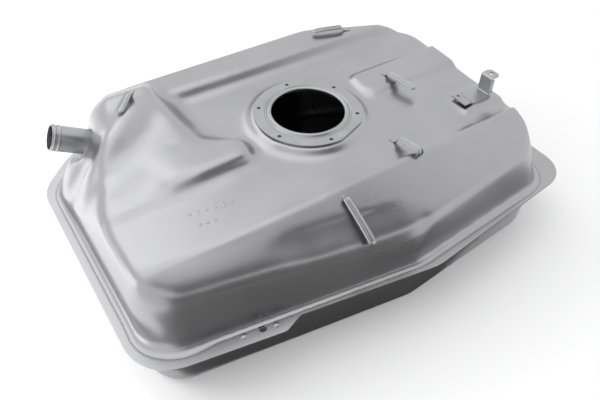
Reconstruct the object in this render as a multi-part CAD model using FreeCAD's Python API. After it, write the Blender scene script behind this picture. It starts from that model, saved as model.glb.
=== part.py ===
import FreeCAD, Part
import math
import os

os.makedirs("parts", exist_ok=True)

V = FreeCAD.Vector

# Frame
# The origin is the middle of the pump opening, in the top face of the pump ring. X runs along the
# tank, Y across it to the back, Z up. Heights of the pressed levels are measured from that face.

SHEET = 1.2
SEAM_Z = -100.0
DECK_Z = -12.0
FLOOR_Z = -180.0
SPAN = 2000.0


# Helpers

def side(x, y, z, azimuth, draft):
    """A face through a point: the way it looks in plan, and how far it leans back from upright."""
    a = math.radians(azimuth)
    d = math.radians(draft)
    return V(x, y, z), V(math.cos(a) * math.cos(d), math.sin(a) * math.cos(d), math.sin(d))


def through(p, q, r):
    """A face through three points, looking up."""
    n = (q - p).cross(r - p)
    n.normalize()
    if n.z < 0:
        n = n * -1.0
    return p, n


def beyond(face, inset):
    """Everything outside a face that is set in by the wall."""
    point, normal = face
    block = Part.makeBox(SPAN, SPAN, SPAN, V(-SPAN / 2, -SPAN / 2, 0))
    block.Placement = FreeCAD.Placement(point - normal * inset, FreeCAD.Rotation(V(0, 0, 1), normal))
    return block


def trimmed(solid, faces, inset):
    for face in faces:
        solid = solid.cut(beyond(face, inset))
    return solid


def lies_on(edge, face, inset):
    point, normal = face
    first, last = edge.ParameterRange
    for share in (0.0, 0.35, 0.7, 1.0):
        p = edge.valueAt(first + (last - first) * share)
        if abs((p - point).dot(normal) + inset) > 0.001:
            return False
    return True


def rounded(solid, first, others, inset, radius, left_sharp=()):
    """Rounds the edges of one face, or those that it shares with the others."""
    picked = []
    for edge in solid.Edges:
        if lies_on(edge, first, inset) and not any(lies_on(edge, face, inset) for face in left_sharp):
            if not others or any(lies_on(edge, other, inset) for other in others):
                picked.append(edge)
    return solid.makeFillet(radius - inset, picked)


# Upper shell, walls
# The outer faces of the walls where they meet the flange, with the draft of the pressing tool.

LEFT = side(-321, 0, SEAM_Z, 180, 14)
NECK_SIDE = side(-266, 112, -15, 168, 36)
BACK_LEFT = side(-290, 169, SEAM_Z, 135, 20)
BACK = side(0, 197, SEAM_Z, 90, 10)
BACK_RIGHT = side(114, 198, SEAM_Z, 67, 10)
RIGHT = side(292, 0, SEAM_Z, -3.5, 16)
FRONT_RIGHT = side(140, -220, SEAM_Z, -85.7, 14)
FRONT_LEFT = side(-100, -210, SEAM_Z, -99, 12)
RIDGE_START = V(-285, -132, DECK_Z)
RIDGE_END = V(150, -129, -2.5)
SHOULDER_NOSE = V(33, -214, -45.75)
SHOULDER = through(RIDGE_START, RIDGE_END, SHOULDER_NOSE)
CROWN_Z = 60.0

CORNER_R = 52.0
BACK_CORNER_R = 55.0
NOSE_R = 60.0
SHOULDER_R = 7.0
DECK_EDGE_R = 8.0


def walls(inset):
    """The drafted tub without its relief, up to above the highest pressed level."""
    foot = SEAM_Z - inset
    body = Part.makeBox(SPAN, SPAN, CROWN_Z - foot, V(-SPAN / 2, -SPAN / 2, foot))
    body = trimmed(body, (LEFT, BACK_LEFT, BACK, BACK_RIGHT, RIGHT, FRONT_RIGHT, FRONT_LEFT, SHOULDER), inset)
    body = rounded(body, LEFT, [FRONT_LEFT, BACK_LEFT], inset, CORNER_R)
    body = rounded(body, BACK, [BACK_LEFT, BACK_RIGHT], inset, BACK_CORNER_R)
    body = rounded(body, RIGHT, [FRONT_RIGHT, BACK_RIGHT], inset, CORNER_R)
    body = rounded(body, FRONT_LEFT, [FRONT_RIGHT], inset, NOSE_R)
    body = rounded(body, SHOULDER, [LEFT, FRONT_LEFT, FRONT_RIGHT, RIGHT], inset, SHOULDER_R)
    return body


# Upper shell, relief
# Each raised field is the tub cut down to its own height and slopes, with its upper edges rounded.

DECK_TOP = side(0, 0, DECK_Z, 0, 90)

RIDGE_REAR = (RIDGE_START, V(0, math.sin(math.radians(42)), math.cos(math.radians(42))))
RIDGE_R = 5.0

LOBE_LOW_Z = -7.5
LOBE_LOW_TOP = side(0, 0, LOBE_LOW_Z, 0, 90)
LOBE_FRONT = side(-170, -41, DECK_Z, -89, 22)
LOBE_LOW_END = side(-205, 0, LOBE_LOW_Z, 0, 0)
LOBE_BACK = side(-200, 150, 0, 90, 0)
LOBE_TOP = side(0, 0, 3, 0, 90)
LOBE_LEFT = side(-232, 0, -4, 190, 55)
LOBE_NOSE = side(-98, -12, DECK_Z, -8, 30)
LOBE_REAR = side(-125, 20, DECK_Z, 56, 38)
LOBE_R = 5.0
LOBE_NOSE_R = 15.0

HUMP_TOP = side(0, 0, 20, 0, 90)
HUMP_FRONT = side(-222, 20, 2, -76, 68)
HUMP_LEFT = side(-266, 120, 0, 172, 48)
HUMP_BACK_LEFT = side(-243, 160, 0, 130, 48)
HUMP_BACK = side(-200, 172, 4, 90, 62)
HUMP_RIGHT = side(-152, 80, 0, 0, 42)
HUMP_R = 16.0

RIM_TOP = side(0, 0, 3.5, 0, 90)
RIM_FRONT = side(0, 117, DECK_Z, -91.5, 38)
RIM_LEFT = side(-188, 150, 0, 180, 20)
RIM_R = 6.0
RIM_BACK_R = 6.0

RIB_TOP = side(0, 0, -4, 0, 90)
RIB_FRONT = side(150, -13, DECK_Z, -90, 44)
RIB_BACK = side(150, 49, DECK_Z, 90, 44)
RIB_LEFT = side(97, 18, DECK_Z, 180, 40)
RIB_R = 5.0
RIB_END_R = 20.0


PAD_TOP = side(0, 0, -6.5, 0, 90)
PAD_FRONT = side(220, -116, DECK_Z, -92, 48)
PAD_BACK = side(220, -66, DECK_Z, 90, 60)
PAD_LEFT = side(186, -90, DECK_Z, 176, 55)
PAD_R = 3.0


def deck(inset):
    body = trimmed(walls(inset), [DECK_TOP], inset)
    return rounded(body, DECK_TOP, [], inset, DECK_EDGE_R, [SHOULDER])


def ridge(inset):
    body = trimmed(walls(inset), [RIDGE_REAR], inset)
    return rounded(body, RIDGE_REAR, [], inset, RIDGE_R)


def lobe_low(inset):
    body = trimmed(walls(inset), [LOBE_LOW_TOP, LOBE_FRONT, LOBE_LOW_END, LOBE_BACK], inset)
    return rounded(body, LOBE_LOW_TOP, [LOBE_FRONT, LEFT], inset, LOBE_R)


def lobe(inset):
    body = trimmed(walls(inset), [LOBE_TOP, LOBE_FRONT, LOBE_LEFT, LOBE_NOSE, LOBE_REAR, LOBE_BACK], inset)
    body = rounded(body, LOBE_NOSE, [LOBE_FRONT, LOBE_REAR], inset, LOBE_NOSE_R)
    return rounded(body, LOBE_TOP, [], inset, LOBE_R)


def hump(inset):
    faces = [HUMP_TOP, HUMP_FRONT, HUMP_LEFT, HUMP_BACK_LEFT, HUMP_BACK, HUMP_RIGHT]
    body = trimmed(walls(inset), faces, inset)
    body = rounded(body, HUMP_LEFT, [HUMP_FRONT, HUMP_BACK_LEFT], inset, HUMP_R)
    body = rounded(body, HUMP_RIGHT, [HUMP_FRONT, HUMP_BACK], inset, HUMP_R)
    body = rounded(body, HUMP_BACK, [HUMP_BACK_LEFT], inset, HUMP_R)
    return rounded(body, HUMP_TOP, [], inset, HUMP_R)


def rim(inset):
    body = trimmed(walls(inset), [RIM_TOP, RIM_FRONT, RIM_LEFT], inset)
    body = rounded(body, RIM_TOP, [RIM_FRONT], inset, RIM_R)
    return rounded(body, RIM_TOP, [BACK, BACK_RIGHT], inset, RIM_BACK_R)


def rib(inset):
    body = trimmed(walls(inset), [RIB_TOP, RIB_FRONT, RIB_BACK, RIB_LEFT], inset)
    body = rounded(body, RIB_LEFT, [RIB_FRONT, RIB_BACK], inset, RIB_END_R)
    return rounded(body, RIB_TOP, [], inset, RIB_R)



def pad(inset):
    body = trimmed(walls(inset), [PAD_TOP, PAD_FRONT, PAD_BACK, PAD_LEFT], inset)
    return rounded(body, PAD_TOP, [PAD_FRONT, PAD_LEFT], inset, PAD_R)


# Pump boss and ring
# The ring is spot welded on the flat top of a round boss that flares out of the deck.

OPENING_R = 50.0
RING_WIDTH = 24.0
RING_R = OPENING_R + RING_WIDTH
RING_T = 3.0
RING_FLAT_DEPTH = 3.5
RING_FLAT = RING_R - RING_FLAT_DEPTH
RING_FLAT_AZ = -69.8
RING_LIP_W = 6.5
RING_LIP_R = OPENING_R + RING_LIP_W
RING_LIP_H = 2.2
RING_LIP_EDGE = 0.6
RING_GROOVE = 1.6
RING_GROOVE_D = 1.0
SCREW_EDGE = 7.0
SCREW_CIRCLE_R = RING_R - SCREW_EDGE
SCREW_HOLE_R = 2.6
SCREW_COUNT = 6
SCREW_AZ = -37.3
BOSS_MARGIN = 3.0
BOSS_TOP_R = RING_R + BOSS_MARGIN
BOSS_FLARE = 15.0
BOSS_FOOT_R = BOSS_TOP_R + BOSS_FLARE
BOSS_FLARE_SAG = 0.2
BOSS_CREST_SHARE = 0.4
BOSS_ROOT = 10.0
BOSS_HOLE_GAP = 3.0
THROUGH = 40.0


def boss(inset):
    """Flat top at the ring seat, and a flare that runs out level with the deck."""
    top = -RING_T - inset
    deck_z = DECK_Z - inset
    root_z = deck_z - BOSS_ROOT
    crest = V(BOSS_TOP_R - inset * BOSS_CREST_SHARE, 0, top)
    foot = V(BOSS_FOOT_R, 0, deck_z)
    middle = V((crest.x * 2 + foot.x) / 3, 0, (crest.z + foot.z * 2) / 3 + BOSS_FLARE_SAG)
    flare = Part.Arc(crest, middle, foot).toShape()
    rest = Part.makePolygon([foot, V(foot.x, 0, root_z), V(0, 0, root_z), V(0, 0, top), crest])
    return Part.Face(Part.Wire([flare] + rest.Edges)).revolve(V(0, 0, 0), V(0, 0, 1), 360)


# Filler neck seat
# A round pocket in the left wall whose flat floor looks out along the neck.

NECK_R = 17.5
NECK_T = 1.5
NECK_LENGTH = 52.0
NECK_SEAT = V(-262, 141, -38)
NECK_ELEVATION = 26.0
NECK_YAW = 170.5
NECK_AXIS = V(
    math.cos(math.radians(NECK_YAW)) * math.cos(math.radians(NECK_ELEVATION)),
    math.sin(math.radians(NECK_YAW)) * math.cos(math.radians(NECK_ELEVATION)),
    math.sin(math.radians(NECK_ELEVATION)))
NECK_FIT_GAP = 0.25
POCKET_R = 28.0
POCKET_DEPTH = 120.0
POCKET_FLOOR_R = 6.0


def neck_pocket(inset):
    pocket = Part.makeCylinder(POCKET_R + inset, POCKET_DEPTH, NECK_SEAT - NECK_AXIS * inset, NECK_AXIS)
    floor_edge = [e for e in pocket.Edges if (e.valueAt(0) - NECK_SEAT).dot(NECK_AXIS) < 1 and e.Closed]
    return pocket.makeFillet(POCKET_FLOOR_R + inset, floor_edge)


# Flange
# Both shells end in the same flat rim. It is wider at the front left, where it carries a tab.

RIM_OUTLINE = [
    (-340, 150, 60), (-277, 213, 60), (120, 213, 70), (318, 129, 50), (318, -217, 46),
    (37, -246.5, 80), (-151, -213.5, 10), (-176, -223, 14), (-340, -193, 62)]
TAB_HOLE = V(-198, -205, 0)
TAB_HOLE_R = 5.0


def rim_plate(z, thickness):
    corners = [V(x, y, z) for x, y, r in RIM_OUTLINE]
    plate = Part.Face(Part.makePolygon(corners + corners[:1])).extrude(V(0, 0, thickness))
    for x, y, r in RIM_OUTLINE:
        upright = []
        for e in plate.Edges:
            a = e.Vertexes[0].Point
            b = e.Vertexes[-1].Point
            if abs(a.x - b.x) + abs(a.y - b.y) < 0.01 and abs(a.x - x) + abs(a.y - y) < 0.01:
                upright.append(e)
        plate = plate.makeFillet(r, upright)
    hole = Part.makeCylinder(TAB_HOLE_R, thickness * 3, V(TAB_HOLE.x, TAB_HOLE.y, z - thickness))
    return plate.cut(hole)


def upper_form(inset):
    body = deck(inset)
    for field in (ridge, lobe_low, lobe, hump, rim, rib, pad, boss):
        body = body.fuse(field(inset))
    return trimmed(body, [NECK_SIDE], inset).cut(neck_pocket(inset))


def upper_shell():
    body = upper_form(0.0).fuse(rim_plate(SEAM_Z, SHEET))
    body = body.cut(upper_form(SHEET))
    opening = Part.makeCylinder(OPENING_R + BOSS_HOLE_GAP, THROUGH, V(0, 0, DECK_Z - THROUGH / 2))
    neck_start = NECK_SEAT - NECK_AXIS * (THROUGH / 2)
    neck_hole = Part.makeCylinder(NECK_R + NECK_FIT_GAP, THROUGH, neck_start, NECK_AXIS)
    return body.cut(opening).cut(neck_hole)


# Lower shell
# A plain tub, a little drafted, that hangs from the same line as the upper walls.

LOWER_DRAFT = 2.5
LOWER_FLOOR_R = 15.0


def lower_side(face):
    """The wall under one of the upper walls: it starts from the same line and leans the other way."""
    point, normal = face
    azimuth = math.degrees(math.atan2(normal.y, normal.x))
    return side(point.x, point.y, SEAM_Z, azimuth, -LOWER_DRAFT)


def lower_form(inset):
    top = SEAM_Z + inset
    body = Part.makeBox(SPAN, SPAN, top - FLOOR_Z - inset, V(-SPAN / 2, -SPAN / 2, FLOOR_Z + inset))
    left = lower_side(LEFT)
    back_left = lower_side(BACK_LEFT)
    back = lower_side(BACK)
    back_right = lower_side(BACK_RIGHT)
    right = lower_side(RIGHT)
    front_right = lower_side(FRONT_RIGHT)
    front_left = lower_side(FRONT_LEFT)
    body = trimmed(body, (left, back_left, back, back_right, right, front_right, front_left), inset)
    body = rounded(body, left, [front_left, back_left], inset, CORNER_R)
    body = rounded(body, back, [back_left, back_right], inset, BACK_CORNER_R)
    body = rounded(body, right, [front_right, back_right], inset, CORNER_R)
    body = rounded(body, front_left, [front_right], inset, NOSE_R)
    floor = (V(0, 0, FLOOR_Z), V(0, 0, -1))
    return rounded(body, floor, [], inset, LOWER_FLOOR_R)


def lower_shell():
    body = lower_form(0.0).fuse(rim_plate(SEAM_Z - SHEET, SHEET))
    return body.cut(lower_form(SHEET))


# Pump ring

def pump_ring():
    lip_mid = (OPENING_R + RING_LIP_R) / 2
    lip = Part.Arc(V(OPENING_R, 0, RING_LIP_EDGE), V(lip_mid, 0, RING_LIP_H), V(RING_LIP_R, 0, 0)).toShape()
    groove_in = V(RING_LIP_R, 0, 0)
    groove_out = V(RING_LIP_R + RING_GROOVE * 2, 0, 0)
    groove = Part.Arc(groove_in, V(RING_LIP_R + RING_GROOVE, 0, -RING_GROOVE_D), groove_out).toShape()
    rest = Part.makePolygon([
        groove_out, V(RING_R, 0, 0), V(RING_R, 0, -RING_T), V(OPENING_R, 0, -RING_T), V(OPENING_R, 0, RING_LIP_EDGE)])
    ring = Part.Face(Part.Wire([lip, groove] + rest.Edges)).revolve(V(0, 0, 0), V(0, 0, 1), 360)
    a = math.radians(RING_FLAT_AZ)
    out = V(math.cos(a), math.sin(a), 0)
    ring = ring.cut(beyond((out * RING_FLAT, out), 0))
    for k in range(SCREW_COUNT):
        a = math.radians(SCREW_AZ + k * 360 / SCREW_COUNT)
        at = V(SCREW_CIRCLE_R * math.cos(a), SCREW_CIRCLE_R * math.sin(a), -RING_T - 1)
        ring = ring.cut(Part.makeCylinder(SCREW_HOLE_R, RING_T + 2, at))
    return ring


# Filler neck

NECK_BEAD_H = 1.0
NECK_BEAD_W = 3.4
NECK_COLLAR_R = 20.5
NECK_COLLAR_T = 2.0
NECK_INSIDE = 12.0
NECK_BEAD_FROM_END = (3.0, 9.0)


def filler_neck():
    tube = Part.makeCylinder(NECK_R, NECK_LENGTH + NECK_INSIDE, V(0, 0, -NECK_INSIDE))
    for back in NECK_BEAD_FROM_END:
        bead = Part.makeTorus(NECK_R - NECK_BEAD_W / 2 + NECK_BEAD_H, NECK_BEAD_W / 2, V(0, 0, NECK_LENGTH - back))
        tube = tube.fuse(bead)
    collar = Part.makeCylinder(NECK_COLLAR_R, NECK_COLLAR_T)
    tube = tube.fuse(collar)
    bore = Part.makeCylinder(NECK_R - NECK_T, NECK_LENGTH + NECK_INSIDE + THROUGH, V(0, 0, -NECK_INSIDE - THROUGH / 2))
    tube = tube.cut(bore)
    tube.Placement = FreeCAD.Placement(NECK_SEAT, FreeCAD.Rotation(V(0, 0, 1), NECK_AXIS))
    return tube


# Pressed strips

STRIP_T = 1.2


def strip(path, width, thickness, bend_r):
    """A flat strip bent along a path in its side view, its under face on the path."""
    turns = [0.0]
    for a, b, c in zip(path, path[1:], path[2:]):
        u = b - a
        w = c - b
        u.normalize()
        w.normalize()
        turns.append(math.atan2(u.x * w.z - u.z * w.x, u.dot(w)) / 2)
    turns.append(0.0)
    outer = []
    for i, p in enumerate(path):
        q = path[min(i + 1, len(path) - 1)] - path[max(min(i, len(path) - 2), 0)]
        if i == len(path) - 1:
            q = path[-1] - path[-2]
        q.normalize()
        up = V(-q.z, 0, q.x)
        shift = up + q * math.tan(turns[i])
        outer.append(p + shift * thickness)
    points = path + list(reversed(outer))
    body = Part.Face(Part.makePolygon(points + points[:1])).extrude(V(0, width, 0))
    body.translate(V(0, -width / 2, 0))
    for i in range(1, len(path) - 1):
        inside = path[i] if turns[i] < 0 else outer[i]
        outside = outer[i] if turns[i] < 0 else path[i]
        for corner, radius in ((inside, bend_r), (outside, bend_r + thickness)):
            edge = [e for e in body.Edges if abs(e.Length - width) < 0.01
                    and (e.CenterOfMass - V(corner.x, 0, corner.z)).Length < 0.01]
            body = body.makeFillet(radius, edge)
    return body


def placed(shape, base, toward, normal=V(0, 0, 1)):
    """Sets a piece with its foot on a point, its length running toward another, its top facing the normal."""
    z = V(normal.x, normal.y, normal.z)
    z.normalize()
    x = toward - base
    x = x - z * x.dot(z)
    x.normalize()
    y = z.cross(x)
    shape.Placement = FreeCAD.Placement(FreeCAD.Matrix(
        x.x, y.x, z.x, base.x, x.y, y.y, z.y, base.y, x.z, y.z, z.z, base.z, 0, 0, 0, 1))
    return shape


# Line clips
# Each is welded by its foot, and its arm stands off the tank to hold a line. Two beads stiffen the arm.

CLIP_W = 11.0
CLIP_FOOT = 11.0
CLIP_RISE = 6.0
CLIP_RAMP = 8.0
CLIP_LIP = 5.0
CLIP_BEND_R = 1.5
CLIP_BEAD_R = 1.3
CLIP_BEAD_AT = 3.2
CLIP_BEAD_MARGIN = 2.5


def clip(length):
    start = CLIP_FOOT + CLIP_RAMP
    path = [V(0, 0, 0), V(CLIP_FOOT, 0, 0), V(start, 0, CLIP_RISE), V(length - CLIP_LIP, 0, CLIP_RISE),
            V(length, 0, CLIP_RISE + CLIP_LIP)]
    body = strip(path, CLIP_W, STRIP_T, CLIP_BEND_R)
    for y in (-CLIP_BEAD_AT, CLIP_BEAD_AT):
        bead = Part.makeCylinder(
            CLIP_BEAD_R, length - CLIP_LIP - start - 2 * CLIP_BEAD_MARGIN,
            V(start + CLIP_BEAD_MARGIN, y, CLIP_RISE + STRIP_T / 2), V(1, 0, 0))
        body = body.fuse(bead)
    return body


HOOK_FOOT = 10.0
HOOK_RISE = 11.0
HOOK_REACH = 50.0
HOOK_RAMP = 12.0
HOOK_DEPTH = 7.0
HOOK_RETURN = 7.0
HOOK_RETURN_LIFT = 2.0
HOOK_BEAD_MARGIN = 3.0


def hook_clip():
    """The clip over the front ridge, whose end turns down and back under the arm."""
    start = HOOK_FOOT + HOOK_RAMP
    path = [V(0, 0, 0), V(HOOK_FOOT, 0, 0), V(start, 0, HOOK_RISE), V(HOOK_REACH, 0, HOOK_RISE),
            V(HOOK_REACH, 0, HOOK_RISE - HOOK_DEPTH), V(HOOK_REACH - HOOK_RETURN, 0, HOOK_RISE - HOOK_DEPTH + HOOK_RETURN_LIFT)]
    body = strip(path, CLIP_W, STRIP_T, CLIP_BEND_R)
    for y in (-CLIP_BEAD_AT, CLIP_BEAD_AT):
        bead = Part.makeCylinder(
            CLIP_BEAD_R, HOOK_REACH - start - 2 * HOOK_BEAD_MARGIN,
            V(start + CLIP_BEAD_MARGIN, y, HOOK_RISE + STRIP_T / 2), V(1, 0, 0))
        body = body.fuse(bead)
    return body


CLIP_HUMP_FOOT = V(-190, 139, 20)
CLIP_HUMP_END = V(-228, 93, 20)
CLIP_HUMP_LENGTH = 60.0
CLIP_BACK_FOOT = V(173, 138, 3.5)
CLIP_BACK_END = V(110, 158, 3.5)
CLIP_BACK_LENGTH = 64.0
CLIP_RIB_FOOT = V(147, 22, -4)
CLIP_RIB_END = V(156, -42, -4)
CLIP_RIB_LENGTH = 66.0
CLIP_SHOULDER_FOOT_XY = (-48, -139)
CLIP_SHOULDER_LENGTH = 80.0
CLIP_HOOK_FOOT = V(66, -97, DECK_Z)
CLIP_HOOK_END = V(76, -145, DECK_Z)


def on_face(x, y, face):
    """The point of a face above a plan position."""
    point, normal = face
    z = point.z - ((x - point.x) * normal.x + (y - point.y) * normal.y) / normal.z
    return V(x, y, z)


def shoulder_clip():
    x, y = CLIP_SHOULDER_FOOT_XY
    base = on_face(x, y, SHOULDER)
    toward = on_face(x + 1, y - 80, SHOULDER)
    return placed(clip(CLIP_SHOULDER_LENGTH), base, toward, SHOULDER[1])


# Bracket
# A plate on the right pad with a raised tab at its left end, and an upright with a bored top flange.

BRACKET_T = 2.0
BRACKET_X = 193.0
BRACKET_Y = -104.0
BRACKET_L = 51.0
BRACKET_W = 28.0
BRACKET_H = 26.0
BRACKET_UP_W = 20.0
BRACKET_TOP_L = 15.0
BRACKET_EAR_L = 7.0
BRACKET_RAISED_L = 11.0
BRACKET_TAB_HOLE_X = 7.0
BRACKET_TAB_RISE = 3.0
BRACKET_HOLE_R = 3.2
BRACKET_TAB_HOLE_R = 2.2
BRACKET_BEND_R = 1.5
BRACKET_TOP_CORNER_R = 6.0
BRACKET_TAB_RAMP = 5.0
BRACKET_FOOT_LAP = 4.0
BRACKET_EAR_GAP = 3.0


def bracket():
    seat = PAD_TOP[0].z
    end = BRACKET_L - BRACKET_T
    down = BRACKET_RAISED_L + BRACKET_TAB_RAMP
    path = [V(0, 0, BRACKET_TAB_RISE), V(BRACKET_RAISED_L, 0, BRACKET_TAB_RISE), V(down, 0, 0), V(end, 0, 0)]
    plate = strip(path, BRACKET_W, BRACKET_T, BRACKET_BEND_R)
    far_end = BRACKET_L + BRACKET_TOP_L
    lap = end - BRACKET_FOOT_LAP
    up = [V(lap, 0, 0), V(BRACKET_L, 0, 0), V(BRACKET_L, 0, BRACKET_H), V(far_end, 0, BRACKET_H)]
    upright = strip(up, BRACKET_UP_W, BRACKET_T, BRACKET_BEND_R)
    corners = [e for e in upright.Edges if abs(e.Length - BRACKET_T) < 0.01 and abs(e.CenterOfMass.x - far_end) < 0.01]
    upright = upright.makeFillet(BRACKET_TOP_CORNER_R, corners)
    ear = Part.makeBox(
        BRACKET_EAR_L, BRACKET_T, BRACKET_H - 2 * BRACKET_EAR_GAP, V(end, -BRACKET_UP_W / 2, BRACKET_EAR_GAP))
    body = plate.fuse([upright, ear])
    hole = Part.makeCylinder(BRACKET_HOLE_R, 3 * BRACKET_T, V(BRACKET_L + BRACKET_TOP_L / 2, 0, BRACKET_H - BRACKET_T))
    tab_start = V(BRACKET_TAB_HOLE_X, BRACKET_W / 4, BRACKET_TAB_RISE - BRACKET_T)
    tab_hole = Part.makeCylinder(BRACKET_TAB_HOLE_R, 3 * BRACKET_T, tab_start)
    body = body.cut(hole).cut(tab_hole)
    body.translate(V(BRACKET_X, BRACKET_Y + BRACKET_W / 2, seat))
    return body


shapes = {
    "upper_shell": upper_shell(),
    "lower_shell": lower_shell(),
    "pump_ring": pump_ring(),
    "filler_neck": filler_neck(),
    "bracket": bracket(),
    "pipe_clip_hump": placed(clip(CLIP_HUMP_LENGTH), CLIP_HUMP_FOOT, CLIP_HUMP_END),
    "pipe_clip_back": placed(clip(CLIP_BACK_LENGTH), CLIP_BACK_FOOT, CLIP_BACK_END),
    "pipe_clip_rib": placed(clip(CLIP_RIB_LENGTH), CLIP_RIB_FOOT, CLIP_RIB_END),
    "pipe_clip_shoulder": shoulder_clip(),
    "pipe_clip_hook": placed(hook_clip(), CLIP_HOOK_FOOT, CLIP_HOOK_END),
}

for name, shape in shapes.items():
    shape.exportStep("parts/" + name + ".step")
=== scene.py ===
import math
import bmesh
import bpy
from mathutils import Matrix, Vector


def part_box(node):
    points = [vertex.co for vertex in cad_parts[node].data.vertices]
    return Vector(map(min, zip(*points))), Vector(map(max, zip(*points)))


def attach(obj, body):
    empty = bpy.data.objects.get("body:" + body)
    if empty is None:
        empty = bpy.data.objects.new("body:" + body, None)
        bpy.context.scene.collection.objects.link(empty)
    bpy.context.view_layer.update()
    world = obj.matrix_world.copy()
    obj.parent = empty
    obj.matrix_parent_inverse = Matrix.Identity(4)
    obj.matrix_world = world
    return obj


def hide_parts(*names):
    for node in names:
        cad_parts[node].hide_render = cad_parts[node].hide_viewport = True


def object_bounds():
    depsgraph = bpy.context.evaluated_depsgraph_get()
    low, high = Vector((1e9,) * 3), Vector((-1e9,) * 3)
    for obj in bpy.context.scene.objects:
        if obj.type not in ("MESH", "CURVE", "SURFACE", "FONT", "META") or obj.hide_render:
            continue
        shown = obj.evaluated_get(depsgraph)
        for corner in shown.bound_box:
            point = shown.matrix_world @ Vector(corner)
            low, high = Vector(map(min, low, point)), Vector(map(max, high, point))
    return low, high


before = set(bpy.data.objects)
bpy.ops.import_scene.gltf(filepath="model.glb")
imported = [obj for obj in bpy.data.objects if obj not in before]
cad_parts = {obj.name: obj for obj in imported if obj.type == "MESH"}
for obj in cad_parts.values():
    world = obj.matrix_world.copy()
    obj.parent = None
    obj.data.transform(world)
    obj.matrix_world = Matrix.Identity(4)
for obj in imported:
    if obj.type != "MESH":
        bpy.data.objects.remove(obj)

cad_low, cad_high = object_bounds()

# Pressed steel finish
# The shells are drawn from coated sheet, a satin silver that shows soft, wide reflections. The coat has a
# faint orange peel, and clouds where it was handled.
COAT_COLOUR = (0.445, 0.445, 0.465, 1)
COAT_CLOUD = (0.405, 0.405, 0.422, 1)
COAT_ROUGHNESS = (0.26, 0.34)
MM = 0.001


def node(tree, kind, **values):
    """A shader node with its sockets set by name."""
    made = tree.nodes.new(kind)
    for name, value in values.items():
        made.inputs[name.replace("_", " ")].default_value = value
    return made


def satin_steel(name, light, cloud, roughness, cloud_scale, peel_scale, peel_height, soft_edge=0.0):
    """Metal with a clouded coat and a fine peel, from Object coordinates."""
    material = bpy.data.materials.new(name)
    material.use_nodes = True
    tree = material.node_tree
    link = tree.links.new
    shader = tree.nodes["Principled BSDF"]
    shader.inputs["Metallic"].default_value = 1.0
    place = tree.nodes.new("ShaderNodeTexCoord")
    clouds = node(tree, "ShaderNodeTexNoise", Scale=cloud_scale, Detail=5.0, Roughness=0.6)
    link(place.outputs["Object"], clouds.inputs["Vector"])
    tone = tree.nodes.new("ShaderNodeValToRGB")
    tone.color_ramp.elements[0].position = 0.32
    tone.color_ramp.elements[1].position = 0.62
    tone.color_ramp.elements[0].color = cloud
    tone.color_ramp.elements[1].color = light
    link(clouds.outputs["Fac"], tone.inputs["Fac"])
    link(tone.outputs["Color"], shader.inputs["Base Color"])
    gloss = node(
        tree, "ShaderNodeMapRange", From_Min=0.3, From_Max=0.7, To_Min=roughness[0], To_Max=roughness[1])
    link(clouds.outputs["Fac"], gloss.inputs["Value"])
    link(gloss.outputs["Result"], shader.inputs["Roughness"])
    peel = node(tree, "ShaderNodeTexNoise", Scale=peel_scale, Detail=2.0)
    link(place.outputs["Object"], peel.inputs["Vector"])
    bump = node(tree, "ShaderNodeBump", Strength=0.25, Distance=peel_height)
    link(peel.outputs["Fac"], bump.inputs["Height"])
    if soft_edge:
        edge = tree.nodes.new("ShaderNodeBevel")
        edge.samples = 4
        edge.inputs["Radius"].default_value = soft_edge
        link(edge.outputs["Normal"], bump.inputs["Normal"])
    link(bump.outputs["Normal"], shader.inputs["Normal"])
    return material


COAT_CLOUD_SCALE = 9.0
COAT_PEEL_SCALE = 300.0
COAT_PEEL_HEIGHT = 0.02 * MM
coat = satin_steel(
    "satin_coat", COAT_COLOUR, COAT_CLOUD, COAT_ROUGHNESS, COAT_CLOUD_SCALE, COAT_PEEL_SCALE, COAT_PEEL_HEIGHT)

# Upper shell
# The upper half is one deep drawing. The press leaves soft feet where a raised field runs into the deck, so
# its skin is worked over here: the outer skin is remeshed, and its hollow corners are eased.
FLANGE_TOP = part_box("lower_shell")[1].z + 1.2 * MM
NECK_SEAT = Vector((-262, 141, -38)) * MM
NECK_ELEVATION = math.radians(26)
NECK_YAW = math.radians(170.5)
NECK_AXIS = Vector((
    math.cos(NECK_YAW) * math.cos(NECK_ELEVATION),
    math.sin(NECK_YAW) * math.cos(NECK_ELEVATION),
    math.sin(NECK_ELEVATION)))
OPENING_REACH = 54 * MM
NECK_REACH = 18.6 * MM
TAB_HOLE = Vector((-198, -205, 0)) * MM
TAB_REACH = 8 * MM
RIM_TURN = math.radians(55)
DECK_POINT = Vector((0, 100, -12)) * MM
VOXEL = 2.6 * MM
SKIRT = 20 * MM
TRIM_ABOVE = 0.15 * MM
LEVEL = 0.01 * MM
HOLLOW_LEAST = 0.06 * MM
CROWN_LEAST = 0.05 * MM


def merged(node_name):
    """A welded copy of a piece's mesh."""
    copy = bmesh.new()
    copy.from_mesh(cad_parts[node_name].data)
    bmesh.ops.remove_doubles(copy, verts=copy.verts, dist=LEVEL)
    copy.normal_update()
    return copy


def off_neck_axis(point):
    return (point - NECK_SEAT).cross(NECK_AXIS).length


def cut_rim(edge):
    """True at the sharp outer edges where the sheet was trimmed or pierced."""
    if not edge.is_manifold or edge.calc_face_angle_signed(0) < RIM_TURN:
        return False
    for corner in edge.verts:
        at_flange = corner.co.z < FLANGE_TOP + LEVEL
        at_opening = corner.co.xy.length < OPENING_REACH
        if not (at_flange or at_opening or off_neck_axis(corner.co) < NECK_REACH):
            return False
    return True


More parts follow.
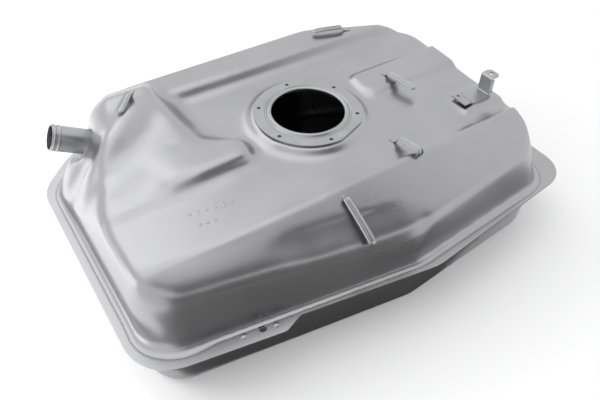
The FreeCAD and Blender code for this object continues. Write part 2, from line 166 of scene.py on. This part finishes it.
def outer_skin(shell):
    """The faces that the outside of the sheet is made of, found from the deck outwards."""
    start = min(shell.faces, key=lambda face: (face.calc_center_median() - DECK_POINT).length)
    found = {start}
    waiting = [start]
    while waiting:
        for edge in waiting.pop().edges:
            if cut_rim(edge):
                continue
            for face in edge.link_faces:
                if face not in found:
                    found.add(face)
                    waiting.append(face)
    return found


def object_from(mesh_edit, name, material):
    data = bpy.data.meshes.new(name)
    mesh_edit.to_mesh(data)
    mesh_edit.free()
    data.materials.append(material)
    for face in data.polygons:
        face.use_smooth = True
    made = bpy.data.objects.new(name, data)
    bpy.context.scene.collection.objects.link(made)
    return made


def remeshed(mesh_edit, voxel):
    """The closed body as an even grid of small faces."""
    rough = object_from(mesh_edit, "rough_body", coat)
    modifier = rough.modifiers.new("even", "REMESH")
    modifier.mode = "VOXEL"
    modifier.voxel_size = voxel
    graph = bpy.context.evaluated_depsgraph_get()
    even = bpy.data.meshes.new_from_object(rough.evaluated_get(graph))
    bpy.data.objects.remove(rough)
    result = bmesh.new()
    result.from_mesh(even)
    bpy.data.meshes.remove(even)
    result.normal_update()
    return result


def hollow_depth(corner):
    """How far the surface around a vertex stands above it: over zero in a hollow."""
    around = Vector()
    for edge in corner.link_edges:
        around += edge.other_vert(corner).co
    return (around / len(corner.link_edges) - corner.co).dot(corner.normal)


def smooth(skin, corners, passes):
    """Moves vertices halfway to the middle of their neighbours, over and over."""
    for k in range(passes):
        bmesh.ops.smooth_vert(
            skin, verts=corners, factor=0.5, use_axis_x=True, use_axis_y=True, use_axis_z=True)


def ease_hollows(skin, inside, rings, passes):
    """Rounds the hollow corners of a zone, out to a number of faces, and leaves the crowns as they are."""
    skin.normal_update()
    levels = {corner: hollow_depth(corner) for corner in skin.verts if inside(corner.co)}
    soft = {corner for corner, level in levels.items() if level > HOLLOW_LEAST}
    edge_of = set(soft)
    for ring in range(rings):
        grown = set()
        for corner in edge_of:
            for edge in corner.link_edges:
                other = edge.other_vert(corner)
                if other not in soft and levels.get(other, -1) > -CROWN_LEAST:
                    grown.add(other)
        soft |= grown
        edge_of = grown
    chosen = [corner for corner in skin.verts if corner in soft]
    smooth(skin, chosen, passes)


shell = merged("upper_shell")
outside = outer_skin(shell)
skin = shell.copy()
skin.faces.ensure_lookup_table()
keep = {face.index for face in outside}
bmesh.ops.delete(skin, geom=[face for face in skin.faces if face.index not in keep], context="FACES")
lip = []
for edge in skin.edges:
    middle = (edge.verts[0].co + edge.verts[1].co) / 2
    at_rim = edge.is_boundary and middle.z < FLANGE_TOP + LEVEL
    if at_rim and (middle.xy - TAB_HOLE.xy).length > TAB_REACH:
        lip.append(edge)
pulled = bmesh.ops.extrude_edge_only(skin, edges=lip)
lowered = [item for item in pulled["geom"] if isinstance(item, bmesh.types.BMVert)]
bmesh.ops.translate(skin, verts=lowered, vec=(0, 0, -SKIRT))
bmesh.ops.holes_fill(skin, edges=[edge for edge in skin.edges if edge.is_boundary], sides=0)
bmesh.ops.recalc_face_normals(skin, faces=skin.faces)
skin = remeshed(skin, VOXEL)


def off_line(point, start, end):
    """The distance from a point to a straight stretch."""
    along = end - start
    share = max(0.0, min(1.0, (point - start).dot(along) / along.length_squared))
    return (point - start - along * share).length


def soften(skin, passes, stretches):
    """Softens the skin fully near some straight stretches, and less and less out to each one's reach."""
    before = [corner.co.copy() for corner in skin.verts]
    smooth(skin, skin.verts, passes)
    for corner, old in zip(skin.verts, before):
        share = 0.0
        for start, end, reach in stretches:
            near = 1 - off_line(old, Vector(start) * MM, Vector(end) * MM) / (reach * MM)
            near = max(0.0, min(1.0, near * 1.8))
            share = max(share, near * near * (3 - 2 * near))
        corner.co = old.lerp(corner.co, share)


ease_hollows(skin, lambda p: p.z < -85 * MM, 1, 4)
ease_hollows(skin, lambda p: p.z > -60 * MM, 3, 14)
ease_hollows(skin, lambda p: p.x < -130 * MM and p.z > -60 * MM, 6, 40)
soften(skin, 70, (
    ((-298, 110, -12), (-295, 60, -12), 50),
    ((-298, 60, -12), (-294, -30, -14), 36),
    ((-294, -30, -14), (-290, -150, -20), 24),
    ((-262, 60, 4), (-215, -5, -6), 62),
    ((-262, 165, 0), (-262, 60, 4), 50),
    ((-200, 100, 20), (-150, 30, 0), 45),
    ((-275, 140, -30), (-262, 150, -30), 40)))

LEDGE_X = (-165, -130, -45, 22)
LEDGE_BACK_Y = (-158, -175)
LEDGE_RISER = 9
LEDGE_DROP = 4.5


def ramp(value, start, end):
    """0 at the start, 1 at the end, smooth between."""
    share = max(0.0, min(1.0, (value - start) / (end - start)))
    return share * share * (3 - 2 * share)


def press_ledge(skin):
    """The low step along the front left of the shoulder, which runs out toward the nose."""
    for corner in skin.verts:
        x, y, z = corner.co / MM
        if z < -80 or y > -145 or not LEDGE_X[0] < x < LEDGE_X[3]:
            continue
        along = ramp(x, LEDGE_X[0], LEDGE_X[1]) * (1 - ramp(x, LEDGE_X[2], LEDGE_X[3]))
        back_y = LEDGE_BACK_Y[0] + (LEDGE_BACK_Y[1] - LEDGE_BACK_Y[0]) * ramp(x, LEDGE_X[1], LEDGE_X[3])
        across = ramp(-y, -back_y, -back_y + LEDGE_RISER)
        corner.co.z -= LEDGE_DROP * MM * along * across * ramp(z, -78, -55)


LEFT_FULLNESS = 11
FOOT_FULLNESS = 8


def fill_left_wall(skin):
    """The left wall stands fuller than a plain slope: up to its crown, and in a swelling below the neck."""
    for corner in skin.verts:
        x, y, z = corner.co / MM
        if x > -200 or z < -97:
            continue
        crown = ramp(-x, 225, 285) * ramp(z, -97, -45) * (1 - ramp(y, 45, 100)) * ramp(y, -190, -130)
        swelling = math.exp(-((y - 108) / 34) ** 2 - ((z + 66) / 26) ** 2) * ramp(-x, 255, 285)
        corner.co.x -= (LEFT_FULLNESS * crown + FOOT_FULLNESS * swelling) * MM


BAND_START = Vector((-285, 25)) * MM
BAND_END = Vector((-185, 92)) * MM
BAND_WIDTH = 15 * MM
BAND_LIFT = 5 * MM


def steepen_hump_front(skin):
    """A band across the front of the hump stands steeper than the rest of it."""
    along = (BAND_END - BAND_START).normalized()
    for corner in skin.verts:
        if corner.co.z < -40 * MM or corner.co.x > -120 * MM:
            continue
        out = corner.co.xy - BAND_START
        run = out.dot(along) / (BAND_END - BAND_START).length
        off = along.cross(out) / BAND_WIDTH
        wave = off * math.exp(0.5 - off * off / 2)
        corner.co.z += BAND_LIFT * wave * ramp(run, -0.25, 0.15) * (1 - ramp(run, 0.8, 1.25))


steepen_hump_front(skin)
fill_left_wall(skin)
press_ledge(skin)
soften(skin, 30, (
    ((-185, 130, -8), (180, 100, -8), 28),
    ((-200, -60, -8), (-60, -10, -8), 24),
    ((186, -90, -12), (190, -60, -12), 24),
    ((100, 18, -12), (110, 0, -12), 22),
    ((33, -214, -46), (270, -190, -22), 30),
    ((-60, -196, -45), (33, -214, -46), 30)))
soften(skin, 75, (
    ((-270, -165, -25), (-60, -196, -45), 46),
    ((-60, -196, -45), (10, -208, -46), 38)))
soften(skin, 16, (
    ((-290, -160, -30), (-150, -190, -50), 45),
    ((-232, 0, -8), (-180, -50, -8), 60),
    ((-300, -170, -40), (-300, -170, -80), 60)))
GRAIN_PASSES = 4
smooth(skin, skin.verts, GRAIN_PASSES)

bmesh.ops.bisect_plane(
    skin, geom=skin.verts[:] + skin.edges[:] + skin.faces[:], plane_co=(0, 0, FLANGE_TOP + TRIM_ABOVE),
    plane_no=(0, 0, -1), clear_outer=True)


def largest_part(mesh_edit):
    """Deletes what is not joined to the biggest connected part of a mesh."""
    parts = []
    left = set(mesh_edit.verts)
    while left:
        waiting = [left.pop()]
        found = set(waiting)
        while waiting:
            for edge in waiting.pop().link_edges:
                for corner in edge.verts:
                    if corner in left:
                        left.discard(corner)
                        found.add(corner)
                        waiting.append(corner)
        parts.append(found)
    parts.sort(key=len)
    strays = [corner for found in parts[:-1] for corner in found]
    bmesh.ops.delete(mesh_edit, geom=strays, context="VERTS")


largest_part(skin)
WELD_OFFSET = 2 * MM
WELD_PITCH = 3.6 * MM
foot = [corner.co.copy() for corner in skin.verts if corner.is_boundary]
foot.sort(key=lambda point: math.atan2(point.y, point.x))
OPENING_HOLE_R = 52 * MM
NECK_HOLE_R = 15 * MM
NECK_HOLE_X = -240 * MM
holes = [corner for corner in skin.verts if corner.co.xy.length < OPENING_HOLE_R]
holes += [
    corner for corner in skin.verts if off_neck_axis(corner.co) < NECK_HOLE_R and corner.co.x < NECK_HOLE_X]
bmesh.ops.delete(skin, geom=list(set(holes)), context="VERTS")

INNER_SHARE = 0.2
thin = object_from(skin.copy(), "thin_copy", coat)
thinner = thin.modifiers.new("thinner", "DECIMATE")
thinner.ratio = INNER_SHARE
INNER_DEPTH = 3.2 * MM
inside = bmesh.new()
inside.from_mesh(bpy.data.meshes.new_from_object(thin.evaluated_get(bpy.context.evaluated_depsgraph_get())))
bpy.data.objects.remove(thin)
inside.normal_update()
for corner in inside.verts:
    corner.co -= corner.normal * INNER_DEPTH
bmesh.ops.reverse_faces(inside, faces=inside.faces)

above = [face for face in shell.faces if face.calc_center_median().z > FLANGE_TOP + LEVEL]
bmesh.ops.delete(shell, geom=above, context="FACES")
for part in (inside, shell):
    joined = bpy.data.meshes.new("joined")
    part.to_mesh(joined)
    part.free()
    skin.from_mesh(joined)
FLAT_BELOW = 0.1 * MM
upper_pressing = object_from(skin, "upper_pressing", coat)
for face in upper_pressing.data.polygons:
    face.use_smooth = face.center.z > FLANGE_TOP + FLAT_BELOW
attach(upper_pressing, "root")
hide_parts("upper_shell")

# Seam weld
# The two flanges are joined by a roller seam weld, a line of overlapping spots round the whole rim.
SPOT_R = 1.3 * MM
SPOT_H = 0.3 * MM


def round_path(points, offset, pitch):
    """Even steps along a closed outline that is moved outwards."""
    count = len(points)
    smooth = []
    for k in range(count):
        span = [points[(k + j) % count] for j in range(-4, 5)]
        smooth.append(sum(span, Vector()) / len(span))
    moved = []
    for k in range(count):
        along = smooth[(k + 3) % count] - smooth[k - 3]
        out = Vector((along.y, -along.x, 0)).normalized()
        moved.append(smooth[k] + out * offset)
    steps = []
    left = 0.0
    for k in range(count):
        a = moved[k]
        b = moved[(k + 1) % count]
        reach = (b - a).length
        while left < reach:
            steps.append(a + (b - a) * (left / reach))
            left += pitch
        left -= reach
    return steps


welds = bmesh.new()
for step in round_path(foot, WELD_OFFSET, WELD_PITCH):
    where = Matrix.Translation((step.x, step.y, FLANGE_TOP + SPOT_H / 2))
    bmesh.ops.create_cone(
        welds, cap_ends=True, segments=8, radius1=SPOT_R, radius2=SPOT_R * 0.45, depth=SPOT_H, matrix=where)
seam_weld = object_from(welds, "seam_weld", coat)
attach(seam_weld, "root")

# Pressed marks
# Small raised pips: two plain rows on the deck, two on the flange tab and one in front of the pump boss.
DECK_Z = -12 * MM


def pip(mesh_edit, place, radius, height, stretch=1.0, turn=0.0):
    """A low round swelling, or a long one."""
    shape = Matrix.Rotation(turn, 4, "Z") @ Matrix.Diagonal((radius * stretch, radius, height, 1))
    bmesh.ops.create_uvsphere(
        mesh_edit, u_segments=20, v_segments=12, radius=1, matrix=Matrix.Translation(place) @ shape)


pips = bmesh.new()
MARK_START = Vector((-217, -79, -12)) * MM
MARK_END = Vector((-166, -87, -12)) * MM
MARK_COUNT = 6
MARK_R = 1.9 * MM
MARK_H = 0.7 * MM
MARK_TURN = math.radians(81)
LOWER_MARK_COUNT = 3
LOWER_MARK_START = Vector((3, -20, 0)) * MM
LOWER_MARK_STEP = Vector((9, -1.3, 0)) * MM
MARK_STRETCH = (1.0, 1.9, 1.0, 1.0, 1.9, 1.0)
for k in range(MARK_COUNT):
    place = MARK_START.lerp(MARK_END, k / (MARK_COUNT - 1))
    pip(pips, place, MARK_R, MARK_H, MARK_STRETCH[k], MARK_TURN)
for k in range(LOWER_MARK_COUNT):
    place = MARK_START + LOWER_MARK_START + LOWER_MARK_STEP * k
    pip(pips, place, MARK_R, MARK_H, 1.6 - 0.3 * k)
for place in ((-221, -202), (-182, -209)):
    pip(pips, (place[0] * MM, place[1] * MM, FLANGE_TOP), 4.2 * MM, 1.4 * MM)
pip(pips, (42 * MM, -80 * MM, DECK_Z), 2.4 * MM, 0.8 * MM)
marks = object_from(pips, "pressed_marks", coat)
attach(marks, "root")

# Lower shell
# The plain lower tub, drawn from the same coated sheet and welded to the upper one at the flange.
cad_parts["lower_shell"].data.materials[0] = coat

# Fittings
# The ring, neck, clips and bracket are plated pieces welded on before the coat.
FITTING_COLOUR = (0.45, 0.452, 0.462, 1)
FITTING_CLOUD = (0.39, 0.392, 0.4, 1)
FITTING_ROUGHNESS = (0.3, 0.38)
FITTING_EDGE = 0.6 * MM
plating = satin_steel(
    "plated_fitting", FITTING_COLOUR, FITTING_CLOUD, FITTING_ROUGHNESS, 30.0, 1500.0, 0.04 * MM, FITTING_EDGE)
for name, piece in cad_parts.items():
    if name not in ("upper_shell", "lower_shell"):
        piece.data.materials[0] = plating

# Line clips
# Each clip is a pressed strip: a narrow tongue is spot welded to the shell, and behind it a round ended arm
# with a raised rim stands off the sheet to hold a fuel line.
CLIP_R = 5.6 * MM
TONGUE_R = 2.2 * MM
TONGUE = 10 * MM
CLIP_RAMP = 10 * MM
CLIP_RIM_IN = 1.9 * MM
CLIP_RIM_W = 1.15 * MM
CLIP_RIM_H = 1.7 * MM
CLIP_SHEET = 1.0 * MM
CLIP_CURL_R = 4.6 * MM
CLIP_TIP = 0.2 * MM


def clip_piece(name, place, toward, up, length, rise, droop=0.0, curl=0.0):
    """A clip from its welded foot toward a point, its arm raised along a direction."""
    strip = bmesh.new()
    bmesh.ops.create_grid(strip, x_segments=90, y_segments=22, size=0.5)
    total = length + curl
    for corner in strip.verts:
        run = (corner.co.x + 0.5) * total
        side = corner.co.y * 2
        into = run - TONGUE
        left_over = total - run
        half = TONGUE_R
        if into > 0:
            cap = CLIP_R - min(into, left_over, CLIP_R)
            least = TONGUE_R if into < left_over else CLIP_TIP
            half = max(math.sqrt(max(CLIP_R * CLIP_R - cap * cap, 0)), least)
        across = side * half
        middle = max(TONGUE + CLIP_R, min(total - CLIP_R, run))
        inset = CLIP_R - math.hypot(run - middle, across)
        off_rim = (inset - CLIP_RIM_IN) / CLIP_RIM_W
        rim = CLIP_RIM_H * math.exp(-off_rim ** 2) * ramp(into, -1 * MM, 4 * MM)
        lift = rise * ramp(run, TONGUE * 0.6, TONGUE * 0.6 + CLIP_RAMP)
        lift -= droop * max(0.0, (run - length * 0.5) / (length * 0.5)) ** 2
        reach = run
        height = lift + rim
        if run > length:
            angle = min((run - length) / CLIP_CURL_R, math.pi)
            past = run - length - angle * CLIP_CURL_R
            radius = CLIP_CURL_R + rim
            reach = length + radius * math.sin(angle) - past
            height = rise - CLIP_CURL_R + radius * math.cos(angle)
        corner.co = (reach, across, height + CLIP_SHEET)
    bmesh.ops.recalc_face_normals(strip, faces=strip.faces)
    if sum(face.normal.z for face in strip.faces) < 0:
        bmesh.ops.reverse_faces(strip, faces=strip.faces)
    bmesh.ops.solidify(strip, geom=strip.faces[:], thickness=CLIP_SHEET)
    bmesh.ops.recalc_face_normals(strip, faces=strip.faces)
    z = up.normalized()
    x = toward - place
    x = (x - z * x.dot(z)).normalized()
    y = z.cross(x)
    turn = Matrix((x, y, z)).transposed().to_4x4()
    bmesh.ops.transform(strip, verts=strip.verts, matrix=Matrix.Translation(place) @ turn)
    made = object_from(strip, name, plating)
    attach(made, "root")
    return made


UP = Vector((0, 0, 1))
SHOULDER_UP = Vector((-0.012, -0.443, 0.896))
clips = (
    ("pipe_clip_hump", (-190, 139, 20), (-228, 93, 20), UP, 58, 6.0, 1.0, 0),
    ("pipe_clip_back", (173, 138, 3.5), (110, 158, 3.5), UP, 62, 6.0, 1.5, 0),
    ("pipe_clip_rib", (147, 22, -4), (156, -42, -4), UP, 64, 6.0, 1.5, 0),
    ("pipe_clip_shoulder", (-48, -139, -12.55), (-47, -219, -52), SHOULDER_UP, 78, 6.0, 2.0, 0),
    ("pipe_clip_hook", (66, -97, -12), (76, -145, -12), UP, 44, 9.5, 0.0, 21))
for node_name, foot_at, end_at, up, length, rise, droop, curl in clips:
    made = clip_piece(
        node_name.replace("pipe_clip", "line_clip"), Vector(foot_at) * MM, Vector(end_at) * MM, up,
        length * MM, rise * MM, droop * MM, curl * MM)
    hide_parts(node_name)

# Studio
# A pale floor under the tank, a white surround, and soft lamps at the left and overhead.
FLOOR_Z = cad_low.z
FLOOR_SIZE = 12.0
FLOOR_COLOUR = (0.93, 0.93, 0.935, 1)
floor_mesh = bmesh.new()
bmesh.ops.create_grid(floor_mesh, x_segments=1, y_segments=1, size=FLOOR_SIZE)
bmesh.ops.translate(floor_mesh, verts=floor_mesh.verts, vec=(0, 0, FLOOR_Z))
floor_paint = bpy.data.materials.new("studio_floor")
floor_paint.use_nodes = True
floor_paint.node_tree.nodes["Principled BSDF"].inputs["Base Color"].default_value = FLOOR_COLOUR
floor_paint.node_tree.nodes["Principled BSDF"].inputs["Roughness"].default_value = 0.9
floor = object_from(floor_mesh, "studio_floor", floor_paint)

world = bpy.data.worlds.new("studio")
bpy.context.scene.world = world
world.use_nodes = True
sky = world.node_tree
sky.nodes.clear()
surround = sky.nodes.new("ShaderNodeOutputWorld")
path = sky.nodes.new("ShaderNodeLightPath")
seen = node(sky, "ShaderNodeMath")
seen.operation = "MAXIMUM"
sky.links.new(path.outputs["Is Camera Ray"], seen.inputs[0])
sky.links.new(path.outputs["Is Glossy Ray"], seen.inputs[1])
seen_through = node(sky, "ShaderNodeMath")
seen_through.operation = "MAXIMUM"
sky.links.new(seen.outputs[0], seen_through.inputs[0])
sky.links.new(path.outputs["Is Transmission Ray"], seen_through.inputs[1])
room = node(sky, "ShaderNodeBackground", Color=(1, 1, 1, 1), Strength=1.0)
white = node(sky, "ShaderNodeBackground", Color=(1, 1, 1, 1), Strength=1.0)
blend = sky.nodes.new("ShaderNodeMixShader")
sky.links.new(seen_through.outputs[0], blend.inputs["Fac"])
sky.links.new(room.outputs[0], blend.inputs[1])
sky.links.new(white.outputs[0], blend.inputs[2])
sky.links.new(blend.outputs[0], surround.inputs["Surface"])


def lamp(name, place, aim, size, power, mirrored=True):
    """A square soft lamp that looks at a point, seen in the metal or not."""
    data = bpy.data.lights.new(name, "AREA")
    data.size = size
    data.energy = power
    made = bpy.data.objects.new(name, data)
    made.location = place
    made.visible_glossy = mirrored
    made.rotation_mode = "QUATERNION"
    made.rotation_quaternion = (Vector(aim) - Vector(place)).to_track_quat("-Z", "Y")
    bpy.context.scene.collection.objects.link(made)
    return made


lamp("left_soft_lamp", (-1.5, 0.35, 0.2), (-0.2, 0, -0.1), 1.0, 3)
lamp("left_floor_lamp", (-0.8, 0.45, 0.35), (-0.42, 0.2, -0.18), 0.5, 4.5, False)
lamp("overhead_soft_lamp", (-0.1, 0.5, 1.9), (-0.1, 0.1, 0), 1.6, 3.5)
lamp("back_left_lamp", (-0.32, 1.25, 1.15), (-0.3, 0, -0.05), 1.0, 2.2)

# Grey cards out of the camera's view shape the front walls, as a photographer sets them: one lies on the
# floor before the front left wall, a narrow one lies along the foot of the lower shell, one stands behind
# them, and one hangs on the camera's side.
FLAG_COLOUR = (0.17, 0.165, 0.16, 1)
flag_paint = bpy.data.materials.new("black_flag")
flag_paint.use_nodes = True
flag_paint.node_tree.nodes["Principled BSDF"].inputs["Base Color"].default_value = FLAG_COLOUR
flag_paint.node_tree.nodes["Principled BSDF"].inputs["Roughness"].default_value = 1.0


def flag(name, centre, width, depth, turn, height=4 * MM, tilt=0):
    """A grey card that only reflections see."""
    card = bmesh.new()
    bmesh.ops.create_grid(card, x_segments=1, y_segments=1, size=0.5)
    bmesh.ops.transform(card, verts=card.verts, matrix=Matrix.Diagonal((width, depth, 1, 1)))
    bmesh.ops.transform(card, verts=card.verts, matrix=Matrix.Rotation(math.radians(tilt), 4, "X"))
    bmesh.ops.transform(card, verts=card.verts, matrix=Matrix.Rotation(math.radians(turn), 4, "Z"))
    bmesh.ops.translate(card, verts=card.verts, vec=(centre[0], centre[1], FLOOR_Z + height))
    made = object_from(card, name, flag_paint)
    made.visible_camera = False
    made.visible_diffuse = False
    made.visible_shadow = False


flag("front_flag", (-0.14, -0.51), 0.78, 0.44, -6)
flag("foot_flag", (0.06, -0.3), 0.8, 0.16, -6)
flag("standing_flag", (-0.2, -0.78), 0.95, 0.48, -6, 0.24, 90)
flag("camera_side_flag", (0.04, -0.86), 1.35, 0.75, 15, 1.15, 42)

# Camera
# Found from the six screw holes of the pump ring: height, heading, tilt and a lens of 36 mm.
CAMERA_PLACE = Vector((-380.7, -538.4, 490.8)) * MM
CAMERA_PITCH = math.radians(45.16)
CAMERA_HEADING = math.radians(34.6)
CAMERA_ROLL = math.radians(1.49)
lens = bpy.data.cameras.new("photo_camera")
lens.lens = 36.0
lens.sensor_width = 36.0
camera = bpy.data.objects.new("photo_camera", lens)
turn = Matrix.Rotation(-CAMERA_HEADING, 4, "Z") @ Matrix.Rotation(math.pi / 2 - CAMERA_PITCH, 4, "X")
camera.matrix_world = Matrix.Translation(CAMERA_PLACE) @ turn @ Matrix.Rotation(CAMERA_ROLL, 4, "Z")
bpy.context.scene.collection.objects.link(camera)
bpy.context.scene.camera = camera
bpy.context.scene.view_settings.view_transform = "Standard"
